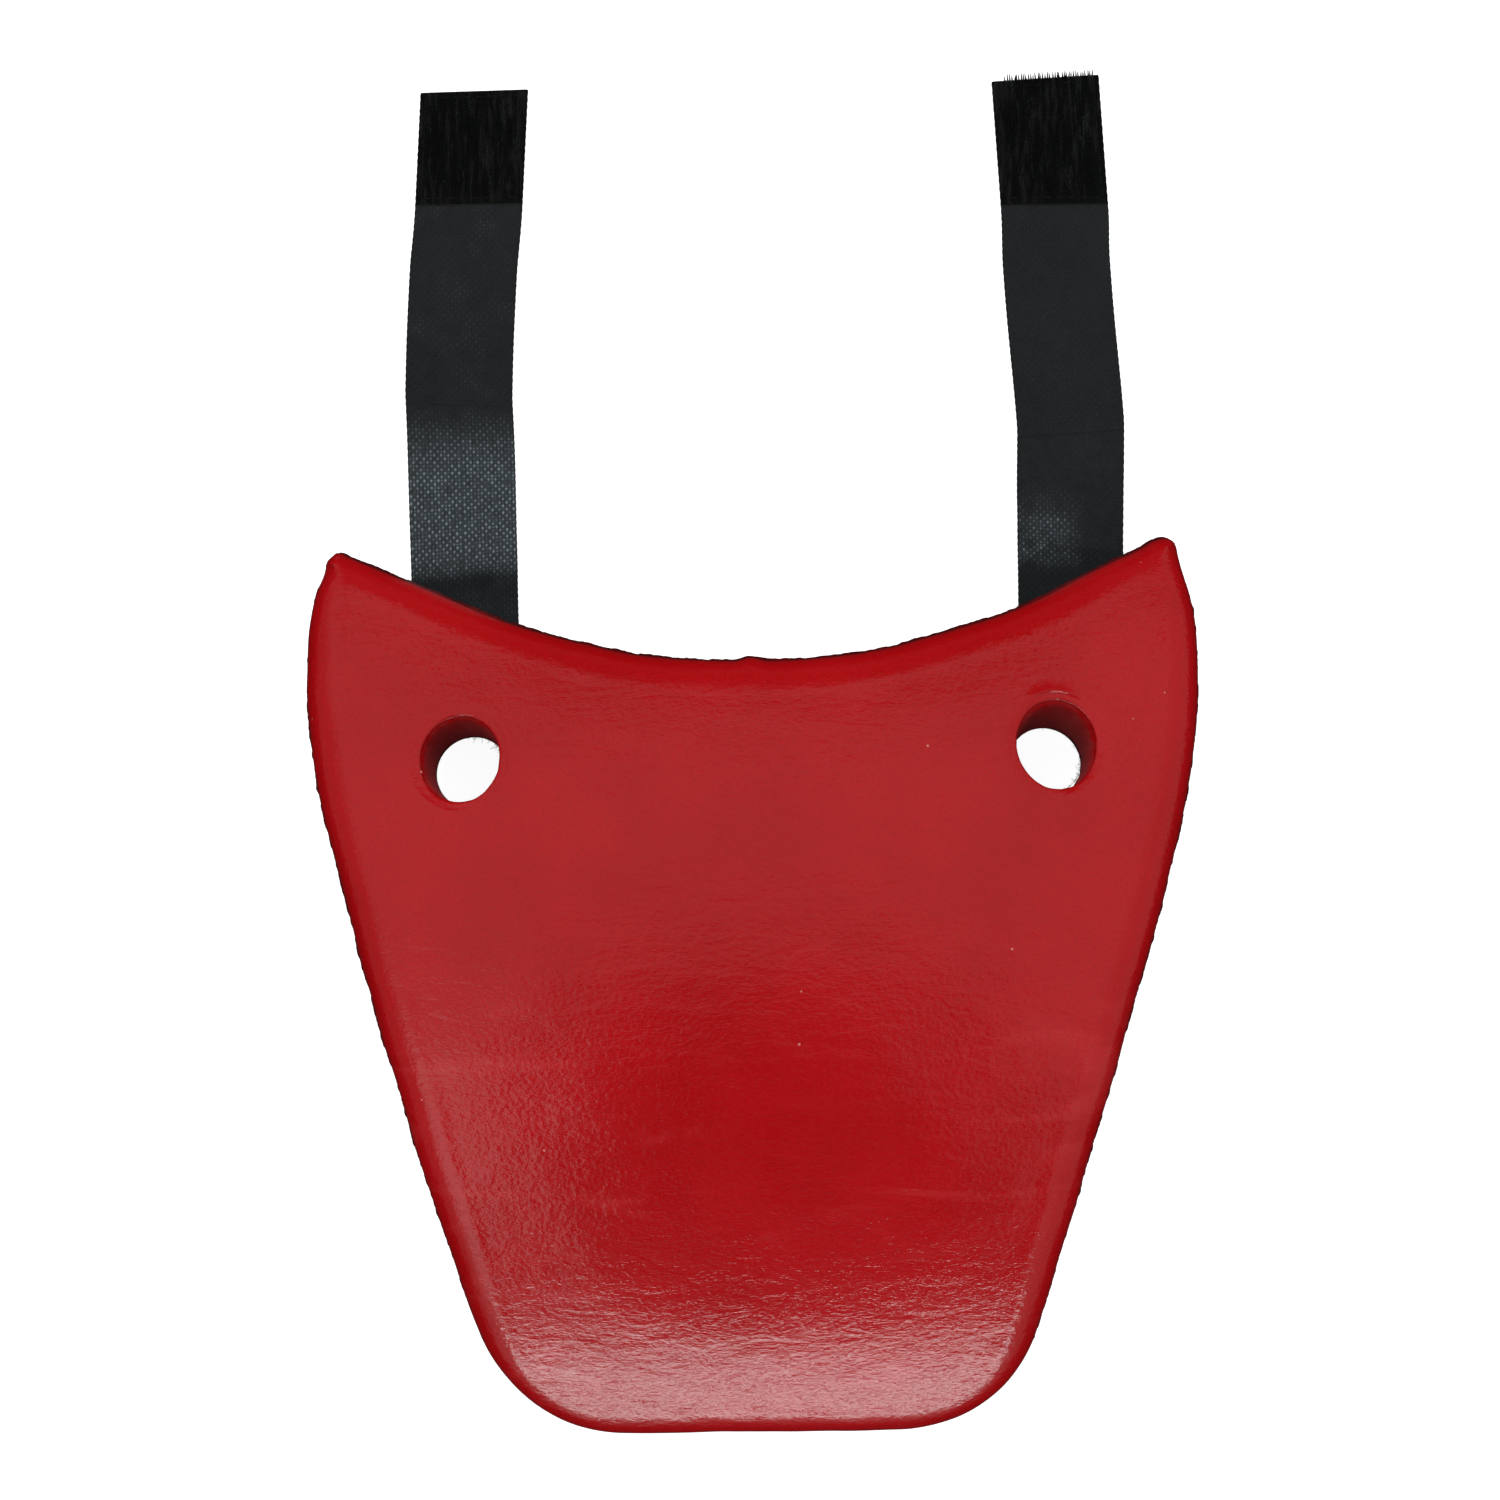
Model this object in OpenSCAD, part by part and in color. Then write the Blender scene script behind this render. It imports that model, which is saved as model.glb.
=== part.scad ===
// A strap-on groin protector: a domed foam shield in a dipped vinyl skin, with
// two straps that end in hook tape. It lies on its back with the front up:
// X runs to the viewer's right, Y from the bottom edge up to the strap ends
// and Z up out of the front face. The origin is under the middle of the whole.
// In the source, "up" is a distance from the bottom edge along Y. Millimetres.

/* [Shield] */
// Half of the widest width, between the two horns
half_width = 156.3; // [145:0.1:170]
// Where that widest width is, up from the bottom edge
widest_up = 276; // [268:1:284]
// Angle of the straight sides from the Y axis
taper = 16.3; // [12:0.1:20]
// Radius of the side between the straight stretch and the widest width
side_r = 250; // [200:1:300]
// Radius of the side between the widest width and the horn
shoulder_r = 90; // [75:1:120]
// Radius of each horn's tip
horn_r = 8; // [5:0.5:12]
// Up to the lowest point of the concave top edge
dip_up = 271.7; // [262:0.1:278]
// Radius of the concave top edge
dip_r = 250; // [230:1:290]
// Radius of the two bottom corners
corner_r = 49.5; // [35:0.5:60]
// Thickness over everything, straight through the shield
pad_t = 22; // [16:0.5:30]

/* [Dome] */
// Radius of the wearer's side across the shield, at its highest point
across_r = 700; // [450:10:1000]
// Radius of the wearer's side along the shield
along_r = 280; // [250:5:340]
// Up to the dome's highest point
apex_up = 168; // [150:1:180]

/* [Layers] */
// Thickness of the vinyl skin
skin_t = 1.2; // [0.8:0.1:2]
// Thickness of the lining on the wearer's side
lining_t = 1.2; // [0.8:0.1:2]
// Thickness of the foam layer next to the lining
inner_foam_t = 9.4; // [6:0.1:11]

/* [Holes] */
// Radius of the two round holes
hole_r = 12.7; // [8:0.1:16]
// Left hole, distance from the middle
left_hole_x = 101.5; // [90:0.5:108]
// Left hole, up from the bottom edge
left_hole_up = 239.5; // [228:0.5:246]
// Right hole, distance from the middle
right_hole_x = 104.5; // [90:0.5:108]
// Right hole, up from the bottom edge
right_hole_up = 242; // [228:0.5:246]

/* [Straps] */
// Width of the straps
strap_w = 38; // [25:1:42]
// Thickness of the straps
strap_t = 1.6; // [1.2:0.1:2.2]
// Left strap, distance from the middle where it leaves the shield
left_strap_x = 102; // [92:1:112]
// Right strap, distance from the middle where it leaves the shield
right_strap_x = 114; // [92:0.5:114]
// Left strap, up to the bend where it reaches the table
left_bend_up = 369; // [350:1:390]
// Right strap, up to the bend where it reaches the table
right_bend_up = 356; // [350:1:390]
// Up to the far end of both straps
tip_up = 479; // [450:1:520]
// Angle at which both straps lean out from the shield to the bend
lean_out = 1.5; // [0:0.1:4]
// Angle at which both straps lean in from the bend to the far end
lean_in = 3.5; // [0:0.1:5]
// Length of strap from its sewn end on the lining to the first fold line
tail_len = 52; // [46:1:56]

/* [Hook tape] */
// Length of the hook tape on the end of each strap
patch_len = 40; // [30:1:60]
// Height of the woven ground of the hook tape
ground_t = 0.9; // [0.5:0.1:1.2]
// Height of the hooks above that ground
hook_t = 1.5; // [1:0.1:2]
// Distance of a seam from the edge of the tape or strap
seam_in = 2; // [1.5:0.1:4]

/* [Hidden] */
$fn = 96;

LEFT = -1;
RIGHT = 1;
frame_up = tip_up / 2; // the origin is halfway along the whole length
arc_step = 5; // longest turn between two points of a drawn arc, degrees
over = 60; // how far cutting shapes reach past what they cut
fold_gap = 1.8; // free web on each side of a fold line
edge_gap = 3; // from the shield's top edge to the strap's first fold line
slab_t = 0.1; // the thin end slices that the lower strap is stretched between
box_len = 20; // sewn box on the strap's tail, along the strap
stitch_len = 2.6;
stitch_pitch = 3.6;
stitch_w = 0.8;
stitch_t = 0.3;

// ---- the outline, seen from the front ----

function arc(centre, r, from, to) =
    let (steps = ceil(abs(to - from) / arc_step))
    [for (i = [0:steps]) let (a = from + (to - from) * i / steps) centre + r * [cos(a), sin(a)]];

function bearing(from, to) = atan2(to[1] - from[1], to[0] - from[0]);

// The centre of the circle that touches circle a from inside and circle b from outside.
function horn_centre(a, ra, b, rb, r) =
    let (
        da = ra - r,
        db = rb + r,
        apart = norm(b - a),
        along = (da * da - db * db + apart * apart) / (2 * apart),
        aside = sqrt(da * da - along * along),
        way = (b - a) / apart
    )
    a + along * way + aside * [way[1], -way[0]];

// Right half of the outline, drawn in from the real edge by a given distance.
function half_outline(inset) =
    let (
        side = [half_width - side_r, widest_up],
        shoulder = [half_width - shoulder_r, widest_up],
        dip = [0, dip_up + dip_r],
        horn = horn_centre(shoulder, shoulder_r, dip, dip_r, horn_r),
        low_side = side + side_r * [cos(taper), -sin(taper)],
        corner_x = low_side[0] - (low_side[1] - corner_r) * tan(taper) - corner_r / cos(taper),
        to_horn = bearing(shoulder, horn),
        to_dip = bearing(horn, dip)
    )
    concat(
        arc([corner_x, corner_r], corner_r - inset, -90, -taper),
        arc(side, side_r - inset, -taper, 0),
        arc(shoulder, shoulder_r - inset, 0, to_horn),
        arc(horn, horn_r - inset, to_horn, to_dip),
        arc(dip, dip_r + inset, to_dip - 180, -90)
    );

module outline(inset) {
    right = half_outline(inset);
    left = [for (i = [len(right) - 2:-1:0]) [-right[i][0], right[i][1]]];
    polygon(concat(right, left));
}

// ---- the dome: a ring surface turned about a line along Y, far below the table ----

function drop_along(up, t) = along_r + t - sqrt(pow(along_r + t, 2) - pow(up - apex_up, 2));
function ring_r(up, t) = across_r + t - drop_along(up, t);
function drop(p) = across_r - sqrt(pow(ring_r(p[1], 0), 2) - p[0] * p[0]);

// The wearer's side touches the table at the lowest points of its edge.
rise = max([for (p = half_outline(0)) drop(p)]);

module dome_place() {
    translate([0, apex_up - frame_up, rise - across_r]) children();
}

// The layer of the dome between two heights above the wearer's side.
module dome_layer(from, to) {
    turn = 20;
    wide = 45;
    dome_place()
        rotate([0, -90, -90])
        rotate(-turn)
        rotate_extrude(angle = 2 * turn, $fn = 360)
        translate([across_r - along_r, 0])
        intersection() {
            difference() {
                circle(r = along_r + to, $fn = 360);
                circle(r = along_r + from, $fn = 360);
            }
            polygon([[0, 0], (along_r + over) * [1, -tan(wide)], (along_r + over) * [1, tan(wide)]]);
        }
}

// Stands children on the dome at a place in the front view, t above the wearer's side.
module on_dome(x, up, t) {
    pitch = asin((up - apex_up) / (along_r + t));
    bank = asin(x / ring_r(up, t));
    dome_place()
        rotate([0, bank, 0])
        translate([0, 0, across_r - along_r])
        rotate([-pitch, 0, 0])
        translate([0, 0, along_r + t])
        children();
}

module prism(inset) {
    translate([0, -frame_up, -over]) linear_extrude(4 * over) outline(inset);
}

module holes(r) {
    on_dome(LEFT * left_hole_x, left_hole_up, pad_t) cylinder(h = 2 * over, r = r, center = true);
    on_dome(right_hole_x, right_hole_up, pad_t) cylinder(h = 2 * over, r = r, center = true);
}

// ---- the shield's layers ----

// The skin stops at the lining, whose cut edge shows all round the back.
module vinyl_skin() {
    color("firebrick") difference() {
        intersection() {
            dome_layer(lining_t, pad_t);
            prism(0);
        }
        intersection() {
            dome_layer(lining_t - over / 4, pad_t - skin_t);
            difference() {
                prism(skin_t);
                holes(hole_r + skin_t);
            }
        }
        holes(hole_r);
    }
}

module sheet(from, to, inset) {
    difference() {
        intersection() {
            dome_layer(from, to);
            prism(inset);
        }
        holes(hole_r + inset);
    }
}

module outer_foam() {
    color("dimgray") sheet(lining_t + inner_foam_t, pad_t - skin_t, skin_t);
}

module inner_foam() {
    color("gray") sheet(lining_t, lining_t + inner_foam_t, skin_t);
}

module back_lining() {
    color([0.08, 0.08, 0.09]) sheet(0, lining_t, 0);
}

// ---- the straps, drawn on the right and mirrored for the left ----

function pick(side, left, right) = side == LEFT ? left : right;
function strap_x(side) = pick(side, left_strap_x, right_strap_x);
function bend_up(side) = pick(side, left_bend_up, right_bend_up);
function top_edge_up(x) = dip_up + dip_r - sqrt(dip_r * dip_r - x * x);
function fold_up(side) = top_edge_up(strap_x(side) + strap_w / 2) + edge_gap;
function bend_x(side) = strap_x(side) + (bend_up(side) - fold_up(side)) * tan(lean_out);
function upper_len(side) = (tip_up - bend_up(side) - strap_w / 2 * sin(lean_in)) / cos(lean_in);

module on_side(side) {
    mirror([pick(side, 1, 0), 0, 0]) children();
}

// The first fold: X along the fold line, Y on along the strap, Z out of its face.
module at_fold(side) {
    t = -strap_t / 2;
    pitch = asin((fold_up(side) - apex_up) / (along_r + t));
    bank = asin(strap_x(side) / ring_r(fold_up(side), t));
    turn = atan((tan(-lean_out) * cos(pitch) - sin(pitch) * sin(bank)) / cos(bank));
    on_dome(strap_x(side), fold_up(side), t) rotate(turn) children();
}

// The second fold, where the strap reaches the table.
module at_bend(side) {
    translate([bend_x(side), bend_up(side) - frame_up, strap_t / 2]) rotate(lean_in) children();
}

// A piece of strap between two distances along Y, centred on its thickness.
module web(from, to) {
    translate([-strap_w / 2, from, -strap_t / 2]) cube([strap_w, to - from, strap_t]);
}

module strap_tail(side) {
    color([0.13, 0.15, 0.17]) on_side(side) intersection() {
        dome_layer(-strap_t, 0);
        at_fold(side)
            translate([-strap_w / 2, -tail_len, -over / 4])
            cube([strap_w, tail_len - fold_gap, over / 2]);
    }
}

module strap_lower(side) {
    color([0.13, 0.15, 0.17]) on_side(side) hull() {
        at_fold(side) web(fold_gap, fold_gap + slab_t);
        at_bend(side) web(-fold_gap - slab_t, -fold_gap);
    }
}

module strap_upper(side) {
    color([0.13, 0.15, 0.17]) on_side(side) at_bend(side) web(fold_gap, upper_len(side));
}

// ---- the hook tape: a woven ground with a field of hooks on it ----

module at_patch(side) {
    at_bend(side) translate([0, upper_len(side) - patch_len, strap_t / 2]) children();
}

module hook_patch(side) {
    border = seam_in + stitch_w / 2 + 1;
    color([0.04, 0.04, 0.045]) on_side(side) at_patch(side) {
        translate([-strap_w / 2, 0, 0]) cube([strap_w, patch_len, ground_t]);
        translate([-strap_w / 2 + border, border, ground_t])
            cube([strap_w - 2 * border, patch_len - 2 * border, hook_t]);
    }
}

// ---- the sewing ----

module seam(from, to) {
    pairs = floor(norm(to - from) / stitch_pitch / 2);
    for (i = [0:2 * pairs - 1])
        translate(from + (to - from) * (i + 0.5) / (2 * pairs))
            rotate(bearing(from, to))
            square([stitch_len, stitch_w], center = true);
}

module seam_box(wide, long) {
    corners = [[-wide / 2, 0], [wide / 2, 0], [wide / 2, long], [-wide / 2, long]];
    for (i = [0:3]) seam(corners[i], corners[(i + 1) % 4]);
}

module seam_cross(wide, long) {
    clear = stitch_len / norm([wide, long]);
    ends = [[-wide / 2, 0], [wide / 2, long]];
    for (flip = [1, -1]) {
        a = [flip * ends[0][0], ends[0][1]];
        b = [flip * ends[1][0], ends[1][1]];
        seam(a + (b - a) * clear, b - (b - a) * clear);
    }
}

module tail_stitching(side) {
    color([0.05, 0.05, 0.06]) on_side(side) intersection() {
        dome_layer(-strap_t - stitch_t, -strap_t);
        at_fold(side)
            translate([0, seam_in - tail_len, -over / 4])
            linear_extrude(over / 2) {
                seam_box(strap_w - 2 * seam_in, box_len);
                seam_cross(strap_w - 2 * seam_in, box_len);
            }
    }
}

module patch_stitching(side) {
    color([0.05, 0.05, 0.06]) on_side(side)
        at_patch(side)
        translate([0, seam_in, ground_t])
        linear_extrude(stitch_t)
        seam_box(strap_w - 2 * seam_in, patch_len - 2 * seam_in);
}

vinyl_skin();
outer_foam();
inner_foam();
back_lining();
strap_tail(LEFT);  // left_strap_tail
strap_tail(RIGHT);  // right_strap_tail
tail_stitching(LEFT);  // left_tail_stitching
tail_stitching(RIGHT);  // right_tail_stitching
strap_lower(LEFT);  // left_strap_lower
strap_lower(RIGHT);  // right_strap_lower
strap_upper(LEFT);  // left_strap_upper
strap_upper(RIGHT);  // right_strap_upper
hook_patch(LEFT);  // left_hook_patch
hook_patch(RIGHT);  // right_hook_patch
patch_stitching(LEFT);  // left_patch_stitching
patch_stitching(RIGHT);  // right_patch_stitching
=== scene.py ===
import math

import bpy
import numpy as np
from mathutils import Matrix, Vector
from mathutils.geometry import delaunay_2d_cdt
from numpy.linalg import norm


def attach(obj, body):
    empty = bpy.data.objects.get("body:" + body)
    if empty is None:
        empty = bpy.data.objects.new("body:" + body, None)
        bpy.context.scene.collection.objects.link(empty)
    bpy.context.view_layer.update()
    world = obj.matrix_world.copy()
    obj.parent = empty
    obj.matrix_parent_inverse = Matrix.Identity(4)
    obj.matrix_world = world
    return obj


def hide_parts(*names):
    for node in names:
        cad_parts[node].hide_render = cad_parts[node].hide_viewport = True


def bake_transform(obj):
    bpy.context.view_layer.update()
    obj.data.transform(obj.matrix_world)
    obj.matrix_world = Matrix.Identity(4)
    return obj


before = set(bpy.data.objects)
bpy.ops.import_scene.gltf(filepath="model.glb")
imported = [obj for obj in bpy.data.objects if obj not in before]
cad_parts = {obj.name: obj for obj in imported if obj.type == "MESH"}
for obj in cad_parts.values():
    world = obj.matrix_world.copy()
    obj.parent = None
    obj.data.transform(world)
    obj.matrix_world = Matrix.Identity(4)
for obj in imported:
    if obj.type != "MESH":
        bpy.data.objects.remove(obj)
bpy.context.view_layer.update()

# ---- the part's driving sizes, in mm, as in its CAD source ----

HALF_WIDTH = 156.3
WIDEST_UP = 276.0
TAPER = math.radians(16.3)
SIDE_R = 250.0
SHOULDER_R = 90.0
HORN_R = 8.0
DIP_UP = 271.7
DIP_R = 250.0
CORNER_R = 49.5
PAD_T = 22.0
ACROSS_R = 700.0
ALONG_R = 280.0
APEX_UP = 168.0
SKIN_T = 1.2
LINING_T = 1.2
INNER_FOAM_T = 9.4
HOLE_R = 12.7
HOLES = {"left": (-101.5, 239.5), "right": (104.5, 242.0)}
STRAP_W = 38.0
STRAP_T = 1.6
STRAP_X = {"left": 102.0, "right": 114.0}
BEND_UP = {"left": 369.0, "right": 356.0}
TIP_UP = 479.0
LEAN_OUT = math.radians(1.5)
LEAN_IN = math.radians(3.5)
TAIL_LEN = 52.0
PATCH_LEN = 40.0
GROUND_T = 0.9
HOOK_T = 1.5
SEAM_IN = 2.0
EDGE_GAP = 3.0
BOX_LEN = 20.0
STITCH_LEN = 2.6
STITCH_PITCH = 3.6
FRAME_UP = TIP_UP / 2
MM = 0.001

# ---- sizes of the detail that only the looks have, in mm ----

FILLET_R = 13.0  # the front edge's rounding
LIP_R = 1.3  # rounding of a hole's rim
FUNNEL = 0.5  # how far the front sinks round a hole
BURR_SLOPE = 1.17  # steepness of the bead above the right hole
RIM = {"left": (13.6, 15.1), "right": (13.9, 15.7)}  # half sizes of a hole's stretched front rim
WALL_FROM = 0.055  # depth down a hole, of 1, where the gloss ends
BACK_SHIFT = {"left": (0.4, 0.0), "right": (0.0, -1.8)}  # how far a hole's back end lies off its axis
HOLE_EDGE = HOLE_R + 8.0  # radius where the front's net gives way to a hole's rings
BURR_CREST, BURR_FOOT = 0.52, 0.69  # where the bead has its top and its foot, of 1 from the net to the rim
GRID = 2.0  # spacing of the front's points
EDGE_STEP = 0.8  # spacing of points along the outline
FRONT_RINGS = (0.15, 0.4, 0.8, 1.35, 2.0, 2.8, 3.7, 4.7, 5.8, 7.0, 8.3, 9.7, 11.2, 12.8)
NIB, NIB_X = 1.3, -0.5  # the nib in the middle of the top edge
LOW_LEFT_FULLER = 2.0  # how far the lower left edge stands out more than the right one
SHOULDER_BUMPS = (0.5, 0.35, 0.45)  # on the right horn's outer side
# Each horn's lean: side, middle from its tip, spread, and how far it moves.
HORN_LEANS = ((-1, (0, -3), 7.0, (-3.6, -2.8)), (1, (0, 0), 6.0, (3.4, -0.2)))
# The left horn's bead and hollows and the right one's hollow: side, middle from the tip, spread, height.
HORN_MARKS = (
    (-1, (-0.8, 0), 1.5, 1.4),
    (-1, (-4.0, -6.5), 4.0, -2.0),
    (-1, (17, -5), 9.0, -1.7),
    (1, (-12, -4), 7.0, -1.5),
)
# How far a tape's lower and upper end lie along the strap from the CAD's, and how much askew they are.
END_CUTS = {"left": ((0.0, 0.069), (0.3, 0.081)), "right": ((-2.8, -0.062), (2.3, -0.01))}
WARP_PITCH = 1.25  # webbing, yarn to yarn across
WEFT_PITCH = 1.3  # webbing, pick to pick along
YARN_RELIEF = 0.30
WEB_WIDER = 0.25  # on each side
ASIDE = {"left": -0.7, "right": -0.5}  # how far a strap lies to one side
TURN_HALF = 3.4  # half the length in which a strap folds or bends
HOOK_ACROSS = 1.27  # hook to hook across the tape
HOOK_ALONG = 1.36  # and along it
FIBRES_AT = {"left": 0.1, "right": 1.2}  # where round a hole the cut threads are longest, in radians
CLOTH_PITCH = 0.0016  # the lining's weave, in m
LIGHTS_FACE = (0, -0.05, 0.04)  # in m


# ---- points and noise ----


def columns(*values):
    """Points from their coordinates, each an array or one number for all."""
    return np.column_stack(np.broadcast_arrays(*values))


def unit_rows(v):
    return v / norm(v, axis=1)[:, None]


def mound(p, middle, spread):
    """A bell shape over 2D points, 1 high."""
    return np.exp(-((p - middle) ** 2).sum(1) / 2 / spread**2)


def lattice_noise(p, size, seed):
    """Smooth noise from -1 to 1 at 2D points p, with features about size across."""
    count, shift = 128, 40.37
    values = np.random.default_rng(seed).random((count, count)) * 2 - 1
    q = np.asarray(p, float) / size + shift
    cell = np.floor(q).astype(int)
    f = q - cell
    f = f * f * f * (f * (f * 6 - 15) + 10)
    i, j = cell[:, 0] % count, cell[:, 1] % count
    i2, j2 = (i + 1) % count, (j + 1) % count
    low = values[i, j] * (1 - f[:, 0]) + values[i2, j] * f[:, 0]
    high = values[i, j2] * (1 - f[:, 0]) + values[i2, j2] * f[:, 0]
    return low * (1 - f[:, 1]) + high * f[:, 1]


def layered_noise(p, size, seed, layers=3):
    total, share = 0.0, 1.0
    for k in range(layers):
        total = total + share * lattice_noise(p, size / 2**k, seed + 17 * k)
        share *= 0.5
    return total


def ramp(low, high, x):
    """0 below low, 1 above high, and smooth between them."""
    t = np.clip((x - low) / (high - low), 0, 1)
    return t * t * (3 - 2 * t)


# ---- the outline ----


def arc(centre, r, start, end, step):
    steps = max(int(math.ceil(abs(end - start) * r / step)), 1)
    a = np.linspace(start, end, steps + 1)
    return np.array(centre) + r * columns(np.cos(a), np.sin(a))


def bearing(a, b):
    return math.atan2(b[1] - a[1], b[0] - a[0])


def horn_centre(a, ra, b, rb, r):
    da, db = ra - r, rb + r
    apart = norm(b - a)
    along = (da * da - db * db + apart * apart) / (2 * apart)
    aside = math.sqrt(da * da - along * along)
    way = (b - a) / apart
    return a + along * way + aside * np.array([way[1], -way[0]])


def half_outline(step=0.5):
    """The right half of the shield's outline, from the bottom's middle to the top's."""
    side = np.array([HALF_WIDTH - SIDE_R, WIDEST_UP])
    shoulder = np.array([HALF_WIDTH - SHOULDER_R, WIDEST_UP])
    dip = np.array([0, DIP_UP + DIP_R])
    horn = horn_centre(shoulder, SHOULDER_R, dip, DIP_R, HORN_R)
    low_side = side + SIDE_R * np.array([math.cos(TAPER), -math.sin(TAPER)])
    corner_x = low_side[0] - (low_side[1] - CORNER_R) * math.tan(TAPER) - CORNER_R / math.cos(TAPER)
    to_horn, to_dip = bearing(shoulder, horn), bearing(horn, dip)
    quarter = math.pi / 2
    parts = [
        np.array([[0.0, 0.0]]),
        arc([corner_x, CORNER_R], CORNER_R, -quarter, -TAPER, step),
        arc(side, SIDE_R, -TAPER, 0, step),
        arc(shoulder, SHOULDER_R, 0, to_horn, step),
        arc(horn, HORN_R, to_horn, to_dip, step),
        arc(dip, DIP_R, to_dip - math.pi, -quarter, step),
    ]
    return np.vstack(parts)


def resampled(loop, step):
    """A closed loop's points at an even spacing."""
    ends = np.vstack([loop, loop[:1]])
    lengths = norm(np.diff(ends, axis=0), axis=1)
    at = np.concatenate([[0], np.cumsum(lengths)])
    count = int(round(at[-1] / step))
    s = np.arange(count) * at[-1] / count
    return columns(*(np.interp(s, at, line) for line in ends.T))


def angles(count):
    return np.arange(count) * 2 * math.pi / count


def around(origin, u, v, radius, a):
    """Points at a radius and at angles a round an origin, in the plane of u and v."""
    return origin + np.outer(radius * np.cos(a), u) + np.outer(radius * np.sin(a), v)


def from_middle(p, loop):
    """Each point's distance from a loop's middle."""
    return norm(p - loop.mean(0), axis=1)


def outward(loop):
    """Unit normals of a closed loop that runs anticlockwise."""
    along = unit_rows(np.roll(loop, -1, axis=0) - np.roll(loop, 1, axis=0))
    return columns(along[:, 1], -along[:, 0])


def horn_tip(loop, sign):
    """The highest point of the left horn, sign -1, or of the right one, sign 1."""
    return loop[np.argmax(np.where(sign * loop[:, 0] > 0, loop[:, 1], -1e3))]


def outline_loop(step):
    """The whole outline, anticlockwise, in the row's x and y, with the mould's small irregularities."""
    right = half_outline()
    left = right[::-1][1:-1] * [-1, 1]
    loop = resampled(np.vstack([right, left]) - [0, FRAME_UP], step)
    for sign, place, spread, way in HORN_LEANS:
        loop = loop + mound(loop, horn_tip(loop, sign) + place, spread)[:, None] * way
    x, y = loop.T
    push = 0.35 * layered_noise(loop, 26, 5, 2)
    push += NIB * np.exp(-((x - NIB_X) ** 2) / 2 / 2.6**2) * ramp(0, 20, y)
    for sign, place, spread, size in HORN_MARKS:
        push += size * mound(loop, horn_tip(loop, sign) + place, spread)
    low_left = ramp(-20, -60, x) * ramp(-30, -110, y) * ramp(-232, -190, y)
    push += LOW_LEFT_FULLER * low_left
    for k, size in enumerate(SHOULDER_BUMPS):
        push += size * mound(loop, [128 + 5.5 * k, DIP_UP - FRAME_UP + 38 + 3 * k], 2.0)
    return loop + outward(loop) * push[:, None]


def loop_distance(p, loop):
    """Each point's distance to a closed loop, and the unit direction from the loop to the point."""
    ab = np.roll(loop, -1, axis=0) - loop
    found = []
    for q in np.array_split(p, len(p) // 2000 + 1):
        t = ((q[:, None] - loop) * ab).sum(2) / (ab**2).sum(1)
        gap = q[:, None] - (loop + np.clip(t, 0, 1)[..., None] * ab)
        found.append(gap[np.arange(len(q)), (gap**2).sum(2).argmin(1)])
    gap = np.vstack(found)
    d = norm(gap, axis=1)
    return d, gap / np.maximum(d, 1e-9)[:, None]


def inside(p, loop):
    """Whether each point is inside a closed loop."""
    (ax, ay), (bx, by) = loop.T, np.roll(loop, -1, axis=0).T
    rise = np.where(ay == by, 1e-12, by - ay)
    hits = []
    for q in np.array_split(p, len(p) // 4000 + 1):
        x, y = q[:, :1], q[:, 1:]
        crossed = ((ay > y) != (by > y)) & (x < ax + (y - ay) * (bx - ax) / rise)
        hits.append(crossed.sum(1) % 2 == 1)
    return np.concatenate(hits)


# ---- the dome ----


def ring_r(up, t):
    r = ALONG_R + t
    return ACROSS_R + t - (r - np.sqrt(r * r - (up - APEX_UP) ** 2))


RISE = max(ACROSS_R - math.sqrt(ring_r(p[1], 0) ** 2 - p[0] ** 2) for p in half_outline(20.0))


def dome_z(p, t):
    """Height of the dome's surface t above the wearer's side, at the row's x and y."""
    up = p[:, 1] + FRAME_UP
    return np.sqrt(ring_r(up, t) ** 2 - p[:, 0] ** 2) - (ACROSS_R - RISE)


def dome_slope(p, t):
    """The surface's gradient in x and y."""
    h = 0.5
    dx = (dome_z(p + [h, 0], t) - dome_z(p - [h, 0], t)) / (2 * h)
    dy = (dome_z(p + [0, h], t) - dome_z(p - [0, h], t)) / (2 * h)
    return columns(dx, dy)


def dome_angles(x, up, t):
    """How far a place on the dome leans back and to the side."""
    return math.asin((up - APEX_UP) / (ALONG_R + t)), math.asin(x / float(ring_r(np.array(up), t)))


def dome_frame(x, up, t):
    """Origin and axes of a place on the dome: two along the surface, one out of it."""
    pitch, bank = dome_angles(x, up, t)
    bank_turn = np.array(Matrix.Rotation(bank, 3, "Y"))
    turn = bank_turn @ np.array(Matrix.Rotation(-pitch, 3, "X"))
    base = np.array([0, APEX_UP - FRAME_UP, RISE - ACROSS_R])
    origin = base + bank_turn @ [0, 0, ACROSS_R - ALONG_R] + turn @ [0, 0, ALONG_R + t]
    return origin, turn[:, 0], turn[:, 1], turn[:, 2]


def onto_dome(points, way, t):
    """Moves points along one direction until they lie on the surface at t."""
    p = np.array(points, float)
    for _ in range(5):
        gap = p[:, 2] - dome_z(p[:, :2], t)
        slope = dome_slope(p[:, :2], t)
        rate = way[2] - slope @ np.array(way[:2])
        p = p - (gap / rate)[:, None] * np.array(way)[None]
    return p


def edged_z(p, d, away, t, fillet):
    """The surface at t, with its edge rounded: d is the distance in from the edge, away its direction."""
    z = dome_z(p, t)
    slope = np.arctan(np.maximum((dome_slope(p, t) * away).sum(1), 0.0))
    reach = fillet * (1 - np.sin(slope))
    gone = np.clip(1 - d / fillet, 0, 1)
    round_z = (reach - d) * np.tan(slope) - fillet * np.cos(slope) + fillet * np.sqrt(1 - gone * gone)
    return z + np.where(d < reach, round_z, 0.0), reach


# ---- mesh building ----


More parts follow.
